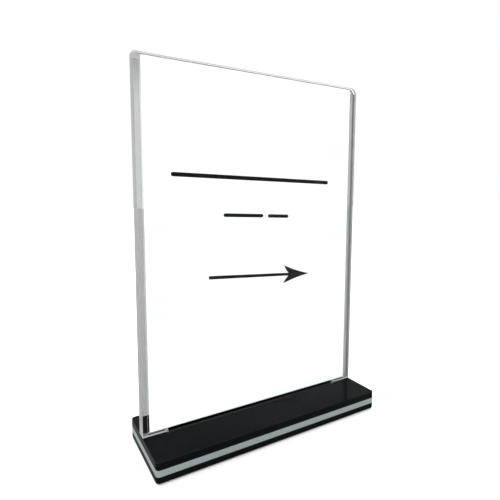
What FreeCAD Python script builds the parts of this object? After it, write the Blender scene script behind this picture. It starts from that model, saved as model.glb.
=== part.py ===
"""Table sign stand: a clear sheet pocket plugged into a three-layer base.

Millimetres. +Z is up, the reader stands on the -Y side, and +X is to the reader's right.
The origin is the centre of the base's footprint, on the surface that the feet stand on.
"""
import FreeCAD, Part
import math
import os

# Printed sheet
SHEET_WIDTH = 210.0
SHEET_HEIGHT = 297.0
SHEET_THICKNESS = 0.25
SHEET_SIDE_CLEARANCE = 1.5
SHEET_FRONT_CLEARANCE = 0.4
SHEET_SEAT_GAP = 0.1

# Clear pocket: two panes held apart by strips at both sides and at the foot
FRONT_PANE_THICKNESS = 4.0
REAR_PANE_THICKNESS = 4.0
POCKET_GAP = 1.5
GLUE_LINE = 0.05
SIDE_STRIP_WIDTH = 5.0
FOOT_STRIP_HEIGHT = 1.6
TOP_MARGIN = 1.3
SIDE_STRIP_TOP_GAP = 5.0
PANE_LEFT_CORNER_RADIUS = 0.8
PANE_RIGHT_CORNER_RADIUS = 7.0
PANE_EDGE_CHAMFER = 0.3

# Tongue at the pocket's foot, and the relief notches between it and the shoulders
SHOULDER_LENGTH = 20.0
SHOULDER_LIFT = 0.3
RELIEF_WIDTH = 1.6
RELIEF_HEIGHT = 1.6

# Base plates
BASE_DEPTH = 72.0
BOTTOM_PLATE_THICKNESS = 5.0
MIDDLE_PLATE_THICKNESS = 5.2
TOP_PLATE_THICKNESS = 6.4
BASE_CORNER_RADIUS = 3.0
PLATE_EDGE_CHAMFER = 0.3
POCKET_SETBACK = 35.0

# Slot for the tongue, through the top and middle plates
SLOT_SIDE_CLEARANCE = 0.25
SLOT_END_CLEARANCE = 1.2
SLOT_CORNER_RADIUS = 1.2
SLOT_MOUTH_CHAMFER = 0.4
TONGUE_SEAT_GAP = 0.1

# Countersunk socket screws, driven from below into the top plate
SCREW_RADIUS = 1.5
SCREW_HEAD_RADIUS = 2.9
SCREW_HEAD_RIM = 0.3
SCREW_ENGAGEMENT = 4.0
SCREW_TIP_CHAMFER = 0.4
SCREW_END_INSET = 42.0
SCREW_EDGE_INSET = 13.0
HEX_ACROSS_FLATS = 2.0
HEX_DEPTH = 1.2
PASSING_CLEARANCE = 0.2
THREAD_CLEARANCE = 0.05
TAP_SPARE_DEPTH = 0.8

# Stick-on rubber feet
FOOT_RADIUS = 6.0
FOOT_HEIGHT = 1.2
FOOT_EDGE_RADIUS = 0.4
FOOT_END_INSET = 14.0
FOOT_EDGE_INSET = 13.0

# Widths that follow from the sheet
POCKET_INNER_WIDTH = SHEET_WIDTH + 2 * SHEET_SIDE_CLEARANCE
POCKET_WIDTH = POCKET_INNER_WIDTH + 2 * SIDE_STRIP_WIDTH
BASE_WIDTH = POCKET_WIDTH
TONGUE_WIDTH = POCKET_WIDTH - 2 * (SHOULDER_LENGTH + RELIEF_WIDTH)
SLOT_LENGTH = TONGUE_WIDTH + 2 * SLOT_END_CLEARANCE

# Heights, from the surface up
BOTTOM_PLATE_Z = FOOT_HEIGHT
MIDDLE_PLATE_Z = BOTTOM_PLATE_Z + BOTTOM_PLATE_THICKNESS
TOP_PLATE_Z = MIDDLE_PLATE_Z + MIDDLE_PLATE_THICKNESS
BASE_TOP_Z = TOP_PLATE_Z + TOP_PLATE_THICKNESS
TONGUE_FOOT_Z = MIDDLE_PLATE_Z + TONGUE_SEAT_GAP
SHOULDER_Z = BASE_TOP_Z + SHOULDER_LIFT
SHEET_SEAT_Z = SHOULDER_Z + FOOT_STRIP_HEIGHT
SHEET_FOOT_Z = SHEET_SEAT_Z + SHEET_SEAT_GAP
POCKET_TOP_Z = SHEET_FOOT_Z + SHEET_HEIGHT + TOP_MARGIN
SCREW_TIP_Z = TOP_PLATE_Z + SCREW_ENGAGEMENT

# Depths, from the front of the base to the rear
FRONT_PANE_Y = POCKET_SETBACK - BASE_DEPTH / 2
GAP_FRONT_Y = FRONT_PANE_Y + FRONT_PANE_THICKNESS
GAP_REAR_Y = GAP_FRONT_Y + POCKET_GAP
POCKET_REAR_Y = GAP_REAR_Y + REAR_PANE_THICKNESS
STRIP_FRONT_Y = GAP_FRONT_Y + GLUE_LINE
STRIP_REAR_Y = GAP_REAR_Y - GLUE_LINE
SHEET_FRONT_Y = GAP_FRONT_Y + SHEET_FRONT_CLEARANCE

SIDES = (("left", -1), ("right", 1))
ENDS = (("front", -1), ("rear", 1))
TOUCH = 1e-6


def block(x0, y0, z0, x1, y1, z1):
    """A box between its lowest and highest corners."""
    return Part.makeBox(x1 - x0, y1 - y0, z1 - z0, FreeCAD.Vector(x0, y0, z0))


def centred_block(width, y0, z0, y1, z1):
    """A box whose width is centred on the YZ plane."""
    return block(-width / 2, y0, z0, width / 2, y1, z1)


def edges_on(solid, axis, value):
    """The edges that lie in the plane where the named coordinate has this value."""
    low = axis + "Min"
    high = axis + "Max"
    return [edge for edge in solid.Edges
            if abs(getattr(edge.BoundBox, low) - value) < TOUCH
            and abs(getattr(edge.BoundBox, high) - value) < TOUCH]


def edges_along(solid, axis):
    """The straight edges that run along the named coordinate only."""
    others = [name for name in "XYZ" if name != axis]
    return [edge for edge in solid.Edges
            if all(getattr(edge.BoundBox, name + "Length") < TOUCH for name in others)]


def spots(end_inset, edge_inset):
    """The four places near the base's corners, by name, with the insets given."""
    reach = BASE_WIDTH / 2 - end_inset
    span = BASE_DEPTH / 2 - edge_inset
    return {f"{end}_{side}": (sx * reach, sy * span) for end, sy in ENDS for side, sx in SIDES}


def upright_cylinders(places, radius, z0, z1):
    """One compound of upright cylinders at the places given."""
    return Part.makeCompound([Part.makeCylinder(radius, z1 - z0, FreeCAD.Vector(x, y, z0))
                              for x, y in places])


# Base ---------------------------------------------------------------------------------

def blank_plate(z0, thickness):
    """A plate of the base's outline, with rounded corners and broken edges."""
    half_depth = BASE_DEPTH / 2
    plate = centred_block(BASE_WIDTH, -half_depth, z0, half_depth, z0 + thickness)
    plate = plate.makeFillet(BASE_CORNER_RADIUS, edges_along(plate, "Z"))
    rims = edges_on(plate, "Z", z0) + edges_on(plate, "Z", z0 + thickness)
    return plate.makeChamfer(PLATE_EDGE_CHAMFER, rims)


def slot_cutter(z0, z1, grown=0.0):
    """The tongue's slot with milled corners, or the same slot grown on every side."""
    y0 = FRONT_PANE_Y - SLOT_SIDE_CLEARANCE - grown
    y1 = POCKET_REAR_Y + SLOT_SIDE_CLEARANCE + grown
    cutter = centred_block(SLOT_LENGTH + 2 * grown, y0, z0, y1, z1)
    return cutter.makeFillet(SLOT_CORNER_RADIUS + grown, edges_along(cutter, "Z"))


def slot_mouth_cutter():
    """The sloping mouth of the slot, from the top face down by the mouth chamfer."""
    lower = slot_cutter(BASE_TOP_Z - SLOT_MOUTH_CHAMFER, BASE_TOP_Z)
    upper = slot_cutter(BASE_TOP_Z, BASE_TOP_Z + SLOT_MOUTH_CHAMFER, SLOT_MOUTH_CHAMFER)
    lower_rim = Part.Wire(Part.__sortEdges__(edges_on(lower, "Z", BASE_TOP_Z - SLOT_MOUTH_CHAMFER)))
    upper_rim = Part.Wire(Part.__sortEdges__(edges_on(upper, "Z", BASE_TOP_Z)))
    return Part.makeLoft([lower_rim, upper_rim], True, True)


def countersink_cutter(x, y, clearance):
    """A screw head's rim and cone, grown by a clearance, from the base's underside up."""
    rim_radius = SCREW_HEAD_RADIUS + clearance
    hole_radius = SCREW_RADIUS + clearance
    rim = Part.makeCylinder(rim_radius, SCREW_HEAD_RIM, FreeCAD.Vector(x, y, BOTTOM_PLATE_Z))
    cone = Part.makeCone(rim_radius, hole_radius, rim_radius - hole_radius,
                         FreeCAD.Vector(x, y, BOTTOM_PLATE_Z + SCREW_HEAD_RIM))
    return rim.fuse(cone)


def base_top_plate():
    """The top plate, with the slot, its sloping mouth and blind tapped holes below."""
    plate = blank_plate(TOP_PLATE_Z, TOP_PLATE_THICKNESS)
    plate = plate.cut(slot_cutter(TOP_PLATE_Z, BASE_TOP_Z))
    plate = plate.cut(slot_mouth_cutter())
    places = spots(SCREW_END_INSET, SCREW_EDGE_INSET).values()
    holes = upright_cylinders(places, SCREW_RADIUS + THREAD_CLEARANCE,
                              TOP_PLATE_Z, SCREW_TIP_Z + TAP_SPARE_DEPTH)
    return plate.cut(holes)


def base_middle_plate():
    """The middle plate, with the slot and the screws' passing holes."""
    plate = blank_plate(MIDDLE_PLATE_Z, MIDDLE_PLATE_THICKNESS)
    plate = plate.cut(slot_cutter(MIDDLE_PLATE_Z, TOP_PLATE_Z))
    places = spots(SCREW_END_INSET, SCREW_EDGE_INSET).values()
    return plate.cut(upright_cylinders(places, SCREW_RADIUS + PASSING_CLEARANCE,
                                       MIDDLE_PLATE_Z, TOP_PLATE_Z))


def base_bottom_plate():
    """The bottom plate, which closes the slot and holds the screws' heads."""
    plate = blank_plate(BOTTOM_PLATE_Z, BOTTOM_PLATE_THICKNESS)
    places = spots(SCREW_END_INSET, SCREW_EDGE_INSET).values()
    plate = plate.cut(upright_cylinders(places, SCREW_RADIUS + PASSING_CLEARANCE,
                                        BOTTOM_PLATE_Z, MIDDLE_PLATE_Z))
    for x, y in places:
        plate = plate.cut(countersink_cutter(x, y, THREAD_CLEARANCE))
    return plate


def hex_cutter(x, y):
    """The hexagonal socket in one screw's head."""
    corner_radius = HEX_ACROSS_FLATS / math.sqrt(3)
    corners = [FreeCAD.Vector(x + corner_radius * math.cos(math.radians(60 * k)),
                              y + corner_radius * math.sin(math.radians(60 * k)),
                              BOTTOM_PLATE_Z) for k in range(7)]
    face = Part.Face(Part.makePolygon(corners))
    return face.extrude(FreeCAD.Vector(0, 0, HEX_DEPTH))


def base_screw(x, y):
    """One countersunk socket screw, head down."""
    shank = Part.makeCylinder(SCREW_RADIUS, SCREW_TIP_Z - BOTTOM_PLATE_Z,
                              FreeCAD.Vector(x, y, BOTTOM_PLATE_Z))
    shank = shank.makeChamfer(SCREW_TIP_CHAMFER, edges_on(shank, "Z", SCREW_TIP_Z))
    screw = shank.fuse(countersink_cutter(x, y, 0.0)).removeSplitter()
    return screw.cut(hex_cutter(x, y))


def base_screws():
    """The four screws, as one group of separate solids."""
    places = spots(SCREW_END_INSET, SCREW_EDGE_INSET).values()
    return Part.makeCompound([base_screw(x, y) for x, y in places])


def rubber_foot(x, y):
    """One round foot with a softened lower edge."""
    foot = Part.makeCylinder(FOOT_RADIUS, FOOT_HEIGHT, FreeCAD.Vector(x, y, 0))
    return foot.makeFillet(FOOT_EDGE_RADIUS, edges_on(foot, "Z", 0))


# Pocket -------------------------------------------------------------------------------

def pocket_outline(y0, y1):
    """A slab of the pocket's outline above its shoulders: left top corner crisp, right one round."""
    slab = centred_block(POCKET_WIDTH, y0, SHOULDER_Z, y1, POCKET_TOP_Z)
    for sign, radius in ((-1, PANE_LEFT_CORNER_RADIUS), (1, PANE_RIGHT_CORNER_RADIUS)):
        corner = [edge for edge in edges_along(slab, "Y")
                  if edge.BoundBox.ZMin > POCKET_TOP_Z - TOUCH
                  and sign * edge.BoundBox.XMin > POCKET_WIDTH / 2 - TOUCH]
        slab = slab.makeFillet(radius, corner)
    return slab


def relief_cutter(sign):
    """The notch beside one end of the tongue, round at its top, through both panes."""
    radius = RELIEF_WIDTH / 2
    centre_x = sign * (TONGUE_WIDTH / 2 + radius)
    arc_z = SHOULDER_Z + RELIEF_HEIGHT - radius
    notch = block(centre_x - radius, FRONT_PANE_Y, TONGUE_FOOT_Z,
                  centre_x + radius, POCKET_REAR_Y, arc_z)
    crown = Part.makeCylinder(radius, POCKET_REAR_Y - FRONT_PANE_Y,
                              FreeCAD.Vector(centre_x, FRONT_PANE_Y, arc_z),
                              FreeCAD.Vector(0, 1, 0))
    return notch.fuse(crown)


def pane(y0, y1, outer_y):
    """A pane between two depths, with its outer face's edges polished to a chamfer."""
    slab = pocket_outline(y0, y1)
    slab = slab.makeChamfer(PANE_EDGE_CHAMFER, edges_on(slab, "Y", outer_y))
    tongue = centred_block(TONGUE_WIDTH, y0, TONGUE_FOOT_Z, y1, SHOULDER_Z + PANE_EDGE_CHAMFER)
    solid = slab.fuse(tongue)
    for _, sign in SIDES:
        solid = solid.cut(relief_cutter(sign))
    return solid.removeSplitter()


def front_pane():
    """The pane that the reader looks through."""
    return pane(FRONT_PANE_Y, GAP_FRONT_Y, FRONT_PANE_Y)


def rear_pane():
    """The pane behind the sheet."""
    return pane(GAP_REAR_Y, POCKET_REAR_Y, POCKET_REAR_Y)


def side_strip(sign):
    """The strip that holds the panes apart along one side, a glue line from each."""
    outer = sign * POCKET_WIDTH / 2
    inner = sign * POCKET_INNER_WIDTH / 2
    column = block(min(outer, inner), STRIP_FRONT_Y, SHOULDER_Z,
                   max(outer, inner), STRIP_REAR_Y, POCKET_TOP_Z - SIDE_STRIP_TOP_GAP)
    return column.common(pocket_outline(STRIP_FRONT_Y, STRIP_REAR_Y))


def foot_strip():
    """The strip that fills the tongue, with its top as the sheet's seat."""
    return centred_block(TONGUE_WIDTH, STRIP_FRONT_Y, TONGUE_FOOT_Z, STRIP_REAR_Y, SHEET_SEAT_Z)


def insert_sheet():
    """The printed sheet, a little behind the front pane."""
    return centred_block(SHEET_WIDTH, SHEET_FRONT_Y, SHEET_FOOT_Z,
                         SHEET_FRONT_Y + SHEET_THICKNESS, SHEET_FOOT_Z + SHEET_HEIGHT)


def sub_parts():
    """Every sub-part by name."""
    parts = {
        "base_top_plate": base_top_plate(),
        "base_middle_plate": base_middle_plate(),
        "base_bottom_plate": base_bottom_plate(),
        "base_screws": base_screws(),
        "front_pane": front_pane(),
        "rear_pane": rear_pane(),
        "foot_strip": foot_strip(),
        "insert_sheet": insert_sheet(),
    }
    for side, sign in SIDES:
        parts[f"{side}_side_strip"] = side_strip(sign)
    for place, (x, y) in spots(FOOT_END_INSET, FOOT_EDGE_INSET).items():
        parts[f"rubber_foot_{place}"] = rubber_foot(x, y)
    return parts


os.makedirs("parts", exist_ok=True)
for name, shape in sub_parts().items():
    shape.exportStep(f"parts/{name}.step")
    print(name, len(shape.Solids), "solids,", round(shape.Volume, 2), "mm3, valid", shape.isValid())
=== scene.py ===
"""Looks of the table sign stand: acrylic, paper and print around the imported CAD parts.

Metres, in the CAD model's own frame: +Z is up and the reader stands on the -Y side.
"""
import math

import bpy
from mathutils import Euler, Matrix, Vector


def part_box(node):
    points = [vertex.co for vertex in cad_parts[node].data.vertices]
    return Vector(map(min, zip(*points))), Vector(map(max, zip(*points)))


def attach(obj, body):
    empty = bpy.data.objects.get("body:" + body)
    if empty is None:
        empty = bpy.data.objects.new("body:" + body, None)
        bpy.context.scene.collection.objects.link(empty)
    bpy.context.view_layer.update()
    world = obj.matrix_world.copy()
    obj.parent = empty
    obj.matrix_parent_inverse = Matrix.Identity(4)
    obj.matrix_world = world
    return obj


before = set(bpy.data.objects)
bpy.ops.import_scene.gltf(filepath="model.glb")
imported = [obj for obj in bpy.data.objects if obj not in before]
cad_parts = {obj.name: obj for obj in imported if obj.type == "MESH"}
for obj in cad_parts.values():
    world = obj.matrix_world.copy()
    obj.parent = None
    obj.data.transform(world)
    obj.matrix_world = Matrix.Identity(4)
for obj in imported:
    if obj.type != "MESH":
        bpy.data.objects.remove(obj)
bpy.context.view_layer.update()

MM = 0.001


# Shader maths ---------------------------------------------------------------------------

class Wire:
    """One socket's output in a material, which adds its Math nodes as it is worked with."""

    def __init__(self, paint, socket):
        self.paint = paint
        self.socket = socket

    def _maths(self, operation, *values):
        return self.paint.node("ShaderNodeMath", {"operation": operation}, list(values))

    def __add__(self, other):
        return self._maths("ADD", self, other)

    __radd__ = __add__

    def __sub__(self, other):
        return self._maths("SUBTRACT", self, other)

    def __rsub__(self, other):
        return self._maths("SUBTRACT", other, self)

    def __mul__(self, other):
        return self._maths("MULTIPLY", self, other)

    __rmul__ = __mul__

    def __gt__(self, other):
        return self._maths("GREATER_THAN", self, other)

    def __lt__(self, other):
        return self._maths("LESS_THAN", self, other)

    def __abs__(self):
        return self._maths("ABSOLUTE", self)


class Paint:
    """A material's node tree, written from its textures to its shader."""

    def __init__(self, name):
        self.material = bpy.data.materials.new(name)
        self.material.use_nodes = True
        self.tree = self.material.node_tree
        self.tree.nodes.clear()
        self.surface_output = self.tree.nodes.new("ShaderNodeOutputMaterial")

    @classmethod
    def for_tree(cls, tree):
        """Nodes for a tree that isn't a material's."""
        paint = cls.__new__(cls)
        paint.tree = tree
        return paint

    def node(self, kind, settings=None, inputs=(), output=0):
        """Adds any node: its settings first, then its inputs by position or by name."""
        made = self.tree.nodes.new(kind)
        for name, value in (settings or {}).items():
            setattr(made, name, value)
        pairs = inputs.items() if isinstance(inputs, dict) else enumerate(inputs)
        for key, value in pairs:
            self._feed(made.inputs[key], value)
        return Wire(self, made.outputs[output])

    def _feed(self, socket, value):
        if isinstance(value, Wire):
            self.tree.links.new(value.socket, socket)
        else:
            socket.default_value = value

    def place(self):
        """Where a point is on the part, in metres."""
        return self.node("ShaderNodeTexCoord", output="Object")

    def along(self, vector, axis):
        """One number of a vector, by the name of its axis."""
        return self.node("ShaderNodeSeparateXYZ", inputs=[vector], output=axis)

    def facing(self, axis):
        """How much the surface faces along the named axis, from -1 to 1."""
        return self.along(self.node("ShaderNodeNewGeometry", output="Normal"), axis)

    def stretched(self, vector, scale):
        """The place scaled by a different amount along each axis."""
        return self.node("ShaderNodeVectorMath", {"operation": "MULTIPLY"}, [vector, scale])

    def noise(self, vector, scale, detail=2.0, roughness=0.5):
        """Smooth noise from 0 to 1."""
        return self.node("ShaderNodeTexNoise", inputs={
            "Vector": vector, "Scale": scale, "Detail": detail, "Roughness": roughness})

    def spread(self, value, low, high, to_low=0.0, to_high=1.0):
        """The value's range from low to high, moved to another range and clamped."""
        return self.node("ShaderNodeMapRange", {"clamp": True},
                         [value, low, high, to_low, to_high])

    def mix_colour(self, factor, first, second):
        """One colour turning into another as the factor goes from 0 to 1."""
        return self.node("ShaderNodeMix", {"data_type": "RGBA"},
                         {0: factor, 6: first, 7: second}, output=2)

    def bump(self, height, strength, distance):
        """A normal shaken by a height, where distance is the height of 1 in metres."""
        return self.node("ShaderNodeBump", inputs={
            "Height": height, "Strength": strength, "Distance": distance})

    def principled(self, **inputs):
        """The Principled shader, with its sockets by name and _ for a space."""
        named = {name.replace("_", " "): value for name, value in inputs.items()}
        return self.node("ShaderNodeBsdfPrincipled", inputs=named)

    def finish(self, shader):
        """Connects the shader and gives the material."""
        self.tree.links.new(shader.socket, self.surface_output.inputs["Surface"])
        return self.material


def grey(value):
    """An opaque grey."""
    return (value, value, value, 1.0)


# Materials ------------------------------------------------------------------------------

ACRYLIC_IOR = 1.49
FINE_RELIEF = 0.02 * MM

# Each tint is the share of the light that passes a clear sheet. The front pane's is nearly clear; the
# rear pane's and the strips' are darkened as painted shade, the grey seen through the margins. The
# right strip's is darker than the left's, which paints more shade on the right margin.
FRONT_PANE_TINT = (0.955, 0.962, 0.964, 1.0)
REAR_PANE_PAINTED_SHADE_TINT = (0.680, 0.686, 0.688, 1.0)
LEFT_STRIP_PAINTED_SHADE_TINT = (0.740, 0.742, 0.746, 1.0)
RIGHT_STRIP_PAINTED_SHADE_TINT = (0.620, 0.622, 0.624, 1.0)
SAWN_EDGE_TINT = (0.97, 0.98, 0.98, 1.0)
MIRROR_TINT = grey(0.08)
HAZE_SHADE_AND_HIGHLIGHT_GREY = grey(0.36)
CLOUD_SHARE = 0.45
SAW_MARK_SHARE = 0.35

DEEP_BLACK = (0.0024, 0.0030, 0.0034, 1.0)
SOFT_BLACK = (0.0043, 0.0050, 0.0055, 1.0)
DUST_GREY = grey(0.20)
SCUFF_AND_HIGHLIGHT_GREY = (0.150, 0.155, 0.155, 1.0)
FROST_DARK = (0.200, 0.230, 0.236, 1.0)
FROST_LIGHT = (0.250, 0.280, 0.286, 1.0)
FROST_GRAIN = (0.36, 0.385, 0.385, 1.0)
PAPER_DARK = (0.790, 0.820, 0.820, 1.0)
PAPER_LIGHT = (0.820, 0.845, 0.842, 1.0)
INK_DARK = grey(0.003)
INK_LIGHT = grey(0.008)
RUBBER_DARK = grey(0.018)
RUBBER_LIGHT = grey(0.036)
STEEL_DARK = (0.42, 0.42, 0.43, 1.0)
STEEL_LIGHT = (0.58, 0.57, 0.56, 1.0)
FLOOR_DARK = grey(0.40)
FLOOR_LIGHT = grey(0.42)
FLOOR_SEEN = grey(0.92)

# The slot's clearance round the tongue, with the chamfer of its mouth, and the line by it, painted as
# wear and as a highlight.
RIM_WIDTH = 0.7 * MM
RUB_AND_HIGHLIGHT_HEIGHT = 0.18 * MM
RUB_AND_HIGHLIGHT_HAZE = 0.4
BASE_TOP_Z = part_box("base_top_plate")[1].z
SLOT_SIDE_ROOM = 0.65 * MM
SLOT_END_ROOM = 1.6 * MM
SLOT_FRONT_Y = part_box("front_pane")[0].y - SLOT_SIDE_ROOM
SLOT_REAR_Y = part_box("rear_pane")[1].y + SLOT_SIDE_ROOM
SLOT_MIDDLE_Y = (SLOT_FRONT_Y + SLOT_REAR_Y) / 2
SLOT_HALF_WIDTH = (SLOT_REAR_Y - SLOT_FRONT_Y) / 2
TONGUE_LOW, TONGUE_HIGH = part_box("foot_strip")
SLOT_MIDDLE_X = (TONGUE_LOW.x + TONGUE_HIGH.x) / 2
SLOT_HALF_LENGTH = (TONGUE_HIGH.x - TONGUE_LOW.x) / 2 + SLOT_END_ROOM


def slot_rim_scuff_and_highlight(paint, place):
    """1 along the slot's rim in the top plate, where the pocket is pushed in and out, and where
    scuffs and a painted highlight go.
    """
    x = paint.along(place, "X")
    y = paint.along(place, "Y")
    off_side = abs(abs(y - SLOT_MIDDLE_Y) - SLOT_HALF_WIDTH)
    off_end = abs(abs(x - SLOT_MIDDLE_X) - SLOT_HALF_LENGTH)
    beside = paint.spread(off_side, RIM_WIDTH * 0.5, RIM_WIDTH, 1.0, 0.0)
    beyond = paint.spread(off_end, RIM_WIDTH * 0.5, RIM_WIDTH, 1.0, 0.0)
    within_length = abs(x - SLOT_MIDDLE_X) < SLOT_HALF_LENGTH + RIM_WIDTH
    within_width = abs(y - SLOT_MIDDLE_Y) < SLOT_HALF_WIDTH + RIM_WIDTH
    return beside * within_length + beyond * within_width


def black_acrylic(name, rim_wear_and_highlight):
    """Black sheet: smooth broad faces with faint hairlines and dust, duller edges and chamfers.
    Its chamfers get a lighter grey that is partly scuffs and partly a painted highlight.

    The rim flag adds the same lighter grey along the rim of the slot, as scuffs and a painted
    highlight, for the plate that has one.
    """
    paint = Paint(name)
    place = paint.place()
    flatness = abs(paint.facing("Z"))
    broad_face = paint.spread(flatness, 0.85, 0.95)
    chamfer = paint.spread(flatness, 0.3, 0.5) * (1 - broad_face)
    cloud = paint.noise(place, 18.0, detail=3.0)
    hairline = paint.noise(paint.stretched(place, (60.0, 900.0, 60.0)), 9.0, detail=1.0)
    scratch = paint.spread(hairline, 0.68, 0.74)
    dust = paint.spread(paint.noise(place, 2600.0, detail=0.0), 0.76, 0.80)
    saw_mark = paint.noise(paint.stretched(place, (1400.0, 1400.0, 30.0)), 1.0, detail=2.0)
    # Lighter grey on the chamfers and, with the rim flag, along the slot's rim: partly scuffs, partly
    # a painted highlight.
    scuff_and_highlight = chamfer * (0.02 + 0.06 * cloud)
    if rim_wear_and_highlight:
        scuff_and_highlight = scuff_and_highlight + slot_rim_scuff_and_highlight(paint, place) * (0.04 + 0.12 * cloud) * broad_face
    colour = paint.mix_colour(cloud, DEEP_BLACK, SOFT_BLACK)
    colour = paint.mix_colour(dust * 0.06, colour, DUST_GREY)
    colour = paint.mix_colour(scuff_and_highlight, colour, SCUFF_AND_HIGHLIGHT_GREY)
    broad_roughness = 0.11 + cloud * 0.06 + scratch * 0.10 + scuff_and_highlight * 0.15
    edge_roughness = 0.22 + saw_mark * 0.16
    roughness = broad_roughness * broad_face + edge_roughness * (1 - broad_face)
    height = scratch * broad_face * -0.4 + saw_mark * (1 - broad_face)
    return paint.finish(paint.principled(
        Base_Color=colour, Roughness=roughness, IOR=ACRYLIC_IOR, Specular_IOR_Level=0.018,
        Normal=paint.bump(height, 0.10, FINE_RELIEF)))


def frosted_acrylic():
    """Silver-grey satin plate: frosted grain with long machining lines on its edges."""
    paint = Paint("frosted_acrylic")
    place = paint.place()
    grain = paint.noise(place, 3200.0, detail=2.0, roughness=0.7)
    lines = paint.noise(paint.stretched(place, (12.0, 12.0, 2200.0)), 1.0, detail=2.0)
    cloud = paint.noise(place, 24.0, detail=3.0)
    colour = paint.mix_colour(cloud, FROST_DARK, FROST_LIGHT)
    colour = paint.mix_colour(grain * 0.25, colour, FROST_GRAIN)
    roughness = 0.42 + grain * 0.14 + lines * 0.10
    return paint.finish(paint.principled(
        Base_Color=colour, Roughness=roughness, IOR=ACRYLIC_IOR, Specular_IOR_Level=0.35,
        Normal=paint.bump(grain * 0.6 + lines, 0.25, 0.03 * MM)))


def foot_rub_and_highlight(paint, place):
    """The haze along the line where the slot's rim rubs the pocket's outer faces, also a painted
    highlight along the slot's mouth.
    """
    x = paint.along(place, "X")
    y = paint.along(place, "Y")
    z = paint.along(place, "Z")
    off_line = abs(z - (BASE_TOP_Z + RUB_AND_HIGHLIGHT_HEIGHT))
    beside = paint.spread(off_line, RUB_AND_HIGHLIGHT_HEIGHT * 0.6, RUB_AND_HIGHLIGHT_HEIGHT, RUB_AND_HIGHLIGHT_HAZE, 0.0)
    outside = abs(y - SLOT_MIDDLE_Y) > SLOT_HALF_WIDTH - SLOT_SIDE_ROOM * 2
    return beside * outside * (abs(x - SLOT_MIDDLE_X) < SLOT_HALF_LENGTH)


def clear_acrylic(name, tint):
    """Clear sheet, faintly smeared on its broad faces and satin on its sawn edges.

    Its sawn edges are also a little cloudy, and the cloud is set by which way they face, as painted
    shade: none where they face down and twice as much where they face up, which darkens the lines
    along the bottom and top edges.
    Lamps shine straight through it, and lose the tint at each face.
    """
    paint = Paint(name)
    place = paint.place()
    sawn_edge = 1 - paint.spread(abs(paint.facing("Y")), 0.80, 0.95)
    smear = paint.noise(paint.stretched(place, (1.0, 1.0, 0.55)), 26.0, detail=4.0, roughness=0.6)
    hairline = paint.noise(paint.stretched(place, (1500.0, 200.0, 90.0)), 1.0, detail=1.0)
    scratch = paint.spread(hairline, 0.74, 0.79)
    saw_mark = paint.noise(paint.stretched(place, (160.0, 1800.0, 160.0)), 1.0, detail=2.0)
    face_roughness = paint.spread(smear, 0.52, 0.78, 0.0, 0.035) + scratch * 0.05
    edge_roughness = 0.30 + saw_mark * 0.25
    roughness = face_roughness * (1 - sawn_edge) + edge_roughness * sawn_edge
    # For the rear pane and the strips, the tint carries painted shade; the sawn edges turn nearly
    # clear.
    colour = paint.mix_colour(sawn_edge, tint, SAWN_EDGE_TINT)
    height = scratch * -1.0 + smear * 0.5 + saw_mark * sawn_edge
    normal = paint.bump(height, 0.05, FINE_RELIEF)
    shell = paint.principled(
        Base_Color=colour, Roughness=roughness, IOR=ACRYLIC_IOR, Transmission_Weight=1.0,
        Specular_Tint=MIRROR_TINT, Normal=normal)
    # The haze grey is the sawn edges' cloud, and is also used for painted shade on the edge lines and
    # a painted highlight along the slot's mouth.
    haze = paint.principled(
        Base_Color=HAZE_SHADE_AND_HIGHLIGHT_GREY, Roughness=0.5, IOR=ACRYLIC_IOR, Specular_IOR_Level=0.2,
        Normal=normal)
    # Painted shade: the haze is left off edges that face down and doubled on edges that face up.
    haze_off_undersides_for_shade = paint.spread(paint.facing("Z"), -0.9, -0.6, 0.0, 1.0)
    haze_doubled_on_tops_for_shade = paint.spread(paint.facing("Z"), 0.6, 0.9, 1.0, 2.0)
    cloudy = sawn_edge * haze_off_undersides_for_shade * haze_doubled_on_tops_for_shade * (CLOUD_SHARE + SAW_MARK_SHARE * saw_mark)
    # The rub line mixes in haze as a painted highlight along the slot's mouth, together with the rub
    # mark.
    body = paint.node("ShaderNodeMixShader",
                      inputs=[cloudy + foot_rub_and_highlight(paint, place) * (1 - sawn_edge), shell, haze])
    open_way = paint.node("ShaderNodeBsdfTransparent", inputs=[tint])
    is_shadow = paint.node("ShaderNodeLightPath", output="Is Shadow Ray")
    return paint.finish(paint.node("ShaderNodeMixShader", inputs=[is_shadow, body, open_way]))


def sheet_paper():
    """Smooth white printing paper with a faint fibre."""
    paint = Paint("sheet_paper")
    place = paint.place()
    fibre = paint.noise(paint.stretched(place, (1.0, 1.0, 0.45)), 900.0, detail=4.0, roughness=0.7)
    cloud = paint.noise(place, 14.0, detail=2.0)
    colour = paint.mix_colour(fibre * 0.7 + cloud * 0.3, PAPER_DARK, PAPER_LIGHT)
    return paint.finish(paint.principled(
        Base_Color=colour, Roughness=0.78 + fibre * 0.12, Specular_IOR_Level=0.3,
        Normal=paint.bump(fibre, 0.12, FINE_RELIEF)))


def printing_ink():
    """Dense black ink, matt and a little uneven."""
    paint = Paint("printing_ink")
    place = paint.place()
    speckle = paint.noise(place, 1800.0, detail=2.0)
    colour = paint.mix_colour(speckle, INK_DARK, INK_LIGHT)
    return paint.finish(paint.principled(
        Base_Color=colour, Roughness=0.55 + speckle * 0.15, Specular_IOR_Level=0.04,
        Normal=paint.bump(speckle, 0.15, 0.01 * MM)))


def foot_rubber():
    """Matt black rubber with a fine moulded grain."""
    paint = Paint("foot_rubber")
    place = paint.place()
    grain = paint.noise(place, 2400.0, detail=3.0)
    colour = paint.mix_colour(grain, RUBBER_DARK, RUBBER_LIGHT)
    return paint.finish(paint.principled(
        Base_Color=colour, Roughness=0.72 + grain * 0.18, Specular_IOR_Level=0.3,
        Normal=paint.bump(grain, 0.3, 0.05 * MM)))


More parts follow.
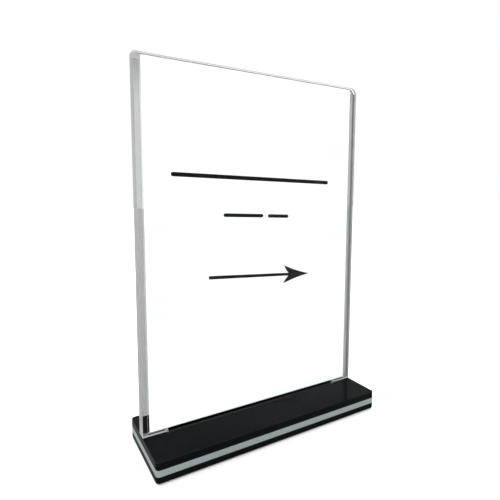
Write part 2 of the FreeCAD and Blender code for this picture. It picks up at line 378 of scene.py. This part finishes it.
def screw_steel():
    """Bare steel, faintly cloudy, with a fine grain."""
    paint = Paint("screw_steel")
    place = paint.place()
    grain = paint.noise(place, 2800.0, detail=3.0)
    cloud = paint.noise(place, 300.0, detail=2.0)
    colour = paint.mix_colour(cloud, STEEL_DARK, STEEL_LIGHT)
    return paint.finish(paint.principled(
        Base_Color=colour, Metallic=1.0, Roughness=0.24 + grain * 0.18,
        Normal=paint.bump(grain, 0.2, FINE_RELIEF)))


def floor_paint():
    """The studio floor: white where it is looked at, mid grey through panes and in mirror images."""
    paint = Paint("studio_floor")
    cloud = paint.noise(paint.place(), 3.0, detail=2.0)
    seen = paint.node("ShaderNodeLightPath", output="Is Camera Ray")
    colour = paint.mix_colour(cloud, FLOOR_DARK, FLOOR_LIGHT)
    colour = paint.mix_colour(seen, colour, FLOOR_SEEN)
    return paint.finish(paint.principled(Base_Color=colour, Roughness=0.8, Specular_IOR_Level=0.1))


def give(material, *nodes):
    """Assigns a material to every slot of these CAD nodes."""
    for name in nodes:
        for material_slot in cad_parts[name].material_slots:
            material_slot.material = material


# Printing on the sheet ------------------------------------------------------------------

SHEET_LOW, SHEET_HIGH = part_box("insert_sheet")
SHEET_CENTRE_X = (SHEET_LOW.x + SHEET_HIGH.x) / 2
INK_THICKNESS = 0.02 * MM
ROUND_STEPS = 10
CURVE_STEPS = 8

# Bars of print, in millimetres: the left end's middle, as sheet_point takes it, then the length
# and the height. Each line has its own slope in degrees, and falls to the right.
HEADING_SLOPE = -1.6
SECOND_LINE_SLOPE = -2.2
SECOND_LINE_HEIGHT = 3.2
WORD_BARS = (("heading_bar", (-83.0, 209.6), 162.3, 3.6, HEADING_SLOPE),
             ("second_bar_long", (-36.5, 175.9), 40.4, SECOND_LINE_HEIGHT, SECOND_LINE_SLOPE),
             ("second_bar_short", (8.7, 174.1), 23.0, SECOND_LINE_HEIGHT, SECOND_LINE_SLOPE))

ARROW_TAIL = (-50.8, 122.8)
ARROW_SLOPE = -3.3
ARROW_LENGTH = 108.7
ARROW_SHAFT = 2.9
ARROW_HEAD = 31.0
ARROW_HALF_WIDTH = 8.8
ARROW_NOTCH = 5.6
SHAFT_TAPER = 0.05
HEAD_HOLLOW = 0.9
BARB_BELLY = -0.5


def sheet_point(across, up):
    """A point on the sheet's front, from millimetres across from its middle and up from its foot."""
    return Vector((SHEET_CENTRE_X + across * MM, SHEET_LOW.y, SHEET_LOW.z + up * MM))


def turned(points, start, degrees):
    """Outline points laid along a line that starts at a point of the sheet and is turned."""
    cos, sin = math.cos(math.radians(degrees)), math.sin(math.radians(degrees))
    return [(start[0] + u * cos - v * sin, start[1] + u * sin + v * cos) for u, v in points]


def printed(name, outline, ink):
    """A thin layer of ink on the sheet's front, from an outline that runs anticlockwise."""
    count = len(outline)
    back = [sheet_point(*point) for point in outline]
    front = [point - Vector((0, INK_THICKNESS, 0)) for point in back]
    faces = [list(range(count)), list(range(2 * count - 1, count - 1, -1))]
    for k in range(count):
        after = (k + 1) % count
        faces.append([k, k + count, after + count, after])
    mesh = bpy.data.meshes.new(name)
    mesh.from_pydata(front + back, [], faces)
    mesh.validate()
    mesh.materials.append(ink)
    piece = bpy.data.objects.new(name, mesh)
    bpy.context.scene.collection.objects.link(piece)
    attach(piece, "insert")


def bar_outline(length, height):
    """A bar with round ends, from its left end's middle."""
    radius = height / 2
    points = []
    for centre, first in ((length - radius, -90), (radius, 90)):
        for k in range(ROUND_STEPS + 1):
            angle = math.radians(first + 180 * k / ROUND_STEPS)
            points.append((centre + radius * math.cos(angle), radius * math.sin(angle)))
    return points


def curve_between(start, end, bulge):
    """Points from start up to but without end, bowed to the left of the way by the bulge."""
    (x0, y0), (x1, y1) = start, end
    length = math.hypot(x1 - x0, y1 - y0)
    points = []
    for k in range(CURVE_STEPS):
        t = k / CURVE_STEPS
        off = 4 * bulge * t * (1 - t) / length
        points.append((x0 + (x1 - x0) * t - (y1 - y0) * off, y0 + (y1 - y0) * t + (x1 - x0) * off))
    return points


def arrow_outline():
    """A plain arrow with a swept barbed head, from its tail's middle to its tip."""
    tail = ARROW_SHAFT * (1 + SHAFT_TAPER) / 2
    neck = ARROW_SHAFT * (1 - SHAFT_TAPER) / 2
    barb = (ARROW_LENGTH - ARROW_HEAD, ARROW_HALF_WIDTH)
    throat = (ARROW_LENGTH - ARROW_HEAD + ARROW_NOTCH, neck)
    low_barb = (barb[0], -barb[1])
    low_throat = (throat[0], -throat[1])
    tip = (ARROW_LENGTH, 0.0)
    points = [(0.0, -tail)]
    points += curve_between(low_throat, low_barb, BARB_BELLY)
    points += curve_between(low_barb, tip, HEAD_HOLLOW)
    points += curve_between(tip, barb, HEAD_HOLLOW)
    points += curve_between(barb, throat, BARB_BELLY)
    points += [throat, (0.0, tail)]
    return points


def print_sheet(ink):
    """Plain bars in place of words, and the pointing arrow."""
    for name, start, length, height, slope in WORD_BARS:
        printed(name, turned(bar_outline(length, height), start, slope), ink)
    printed("arrow", turned(arrow_outline(), ARROW_TAIL, ARROW_SLOPE), ink)


# Studio ---------------------------------------------------------------------------------

EYE_PLACE = Vector((-193.45, -307.51, 212.87)) * MM
EYE_DOWN = 5.83
EYE_TURN = 29.64
SENSOR_WIDTH = 36.0
LENS_LENGTH = 29.16
LENS_SHIFT = (0.0142, -0.0274)
NEAREST_SEEN = 0.01


def camera():
    """A camera to the front left of the stand, at two thirds of its height."""
    data = bpy.data.cameras.new("reader_camera")
    data.sensor_width = SENSOR_WIDTH
    data.lens = LENS_LENGTH
    data.shift_x, data.shift_y = LENS_SHIFT
    data.clip_start = NEAREST_SEEN
    eye = bpy.data.objects.new("reader_camera", data)
    eye.location = EYE_PLACE
    eye.rotation_euler = Euler((math.radians(90 - EYE_DOWN), 0.0, math.radians(-EYE_TURN)), "XYZ")
    bpy.context.scene.collection.objects.link(eye)
    bpy.context.scene.camera = eye


# The wall is bright towards WALL_WAY and fades to DIM_SIDE, and a darker band runs round the
# room at COVE_HEIGHT. Heights and reaches are shares of a direction's length.
WALL_WAY = (-0.34, 0.94, 0.0)
WALL_EDGE = -0.35
WALL_HEART = 0.45
WALL_LIGHT = 1.25
DIM_SIDE = 0.40
COVE_HEIGHT = 0.34
COVE_REACH = 0.12
COVE_SHARE = 0.45

# Each lamp: the way its light travels, how many degrees it is spread over, and its strength.
READER_SIDE_LAMP = ((0.46, 0.84, -0.74), 75, 3.05)
FAR_SIDE_LAMP = ((-0.30, -0.80, -0.80), 100, 3.6)
FLOOR_REACH = 6.0


def surround():
    """A surround that is white to look at, and to all else a room with a bright wall behind."""
    world = bpy.data.worlds.new("studio_surround")
    world.use_nodes = True
    tree = world.node_tree
    tree.nodes.clear()
    paint = Paint.for_tree(tree)
    way = paint.node("ShaderNodeTexCoord", output="Generated")
    to_wall = paint.node("ShaderNodeVectorMath", {"operation": "DOT_PRODUCT"},
                         [way, WALL_WAY], output="Value")
    wall = paint.spread(to_wall, WALL_EDGE, WALL_HEART, DIM_SIDE, WALL_LIGHT)
    height = paint.along(way, "Z")
    glow = wall * paint.spread(abs(height - COVE_HEIGHT), 0.0, COVE_REACH, COVE_SHARE, 1.0)
    room = paint.node("ShaderNodeBackground", inputs=[grey(1.0), glow])
    white = paint.node("ShaderNodeBackground", inputs=[grey(1.0), 1.0])
    seen = paint.node("ShaderNodeLightPath", output="Is Camera Ray")
    shown = paint.node("ShaderNodeMixShader", inputs=[seen, room, white])
    target = tree.nodes.new("ShaderNodeOutputWorld")
    tree.links.new(shown.socket, target.inputs["Surface"])
    bpy.context.scene.world = world


def broad_light(name, way, spread_degrees, strength, mirrored=True):
    """One soft light that falls the same everywhere; mirrored says if the acrylic shows it."""
    data = bpy.data.lights.new(name, "SUN")
    data.angle = math.radians(spread_degrees)
    data.energy = strength
    lamp = bpy.data.objects.new(name, data)
    lamp.rotation_euler = Vector(way).to_track_quat("-Z", "Y").to_euler()
    lamp.visible_glossy = mirrored
    lamp.visible_transmission = mirrored
    bpy.context.scene.collection.objects.link(lamp)


def studio():
    """A pale floor under two broad soft lights, from the front left and from the far right."""
    surround()
    bpy.context.scene.view_settings.view_transform = "Standard"
    mesh = bpy.data.meshes.new("studio_floor")
    corners = ((-1, -1), (1, -1), (1, 1), (-1, 1))
    mesh.from_pydata([(x * FLOOR_REACH, y * FLOOR_REACH, 0) for x, y in corners], [], [(0, 1, 2, 3)])
    mesh.materials.append(floor_paint())
    floor = bpy.data.objects.new("studio_floor", mesh)
    bpy.context.scene.collection.objects.link(floor)
    broad_light("reader_side_light", *READER_SIDE_LAMP)
    broad_light("far_side_light", *FAR_SIDE_LAMP, mirrored=False)


# The stand ------------------------------------------------------------------------------

# Both black plates get a painted highlight mixed with scuffs on their chamfers; the top plate also
# along the slot's rim.
give(black_acrylic("worn_black_acrylic_with_painted_highlight", rim_wear_and_highlight=True), "base_top_plate")
give(black_acrylic("black_acrylic", rim_wear_and_highlight=False), "base_bottom_plate")
give(frosted_acrylic(), "base_middle_plate")
give(clear_acrylic("clear_acrylic", FRONT_PANE_TINT), "front_pane")
# The rear pane, foot strip and side strips get darker tints as painted shade.
give(clear_acrylic("rear_acrylic_painted_shade", REAR_PANE_PAINTED_SHADE_TINT), "rear_pane", "foot_strip")
give(clear_acrylic("left_strip_acrylic_painted_shade", LEFT_STRIP_PAINTED_SHADE_TINT), "left_side_strip")
give(clear_acrylic("right_strip_acrylic_painted_shade", RIGHT_STRIP_PAINTED_SHADE_TINT), "right_side_strip")
give(sheet_paper(), "insert_sheet")
give(screw_steel(), "base_screws")
give(foot_rubber(), *[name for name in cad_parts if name.startswith("rubber_foot")])
print_sheet(printing_ink())

studio()
camera()
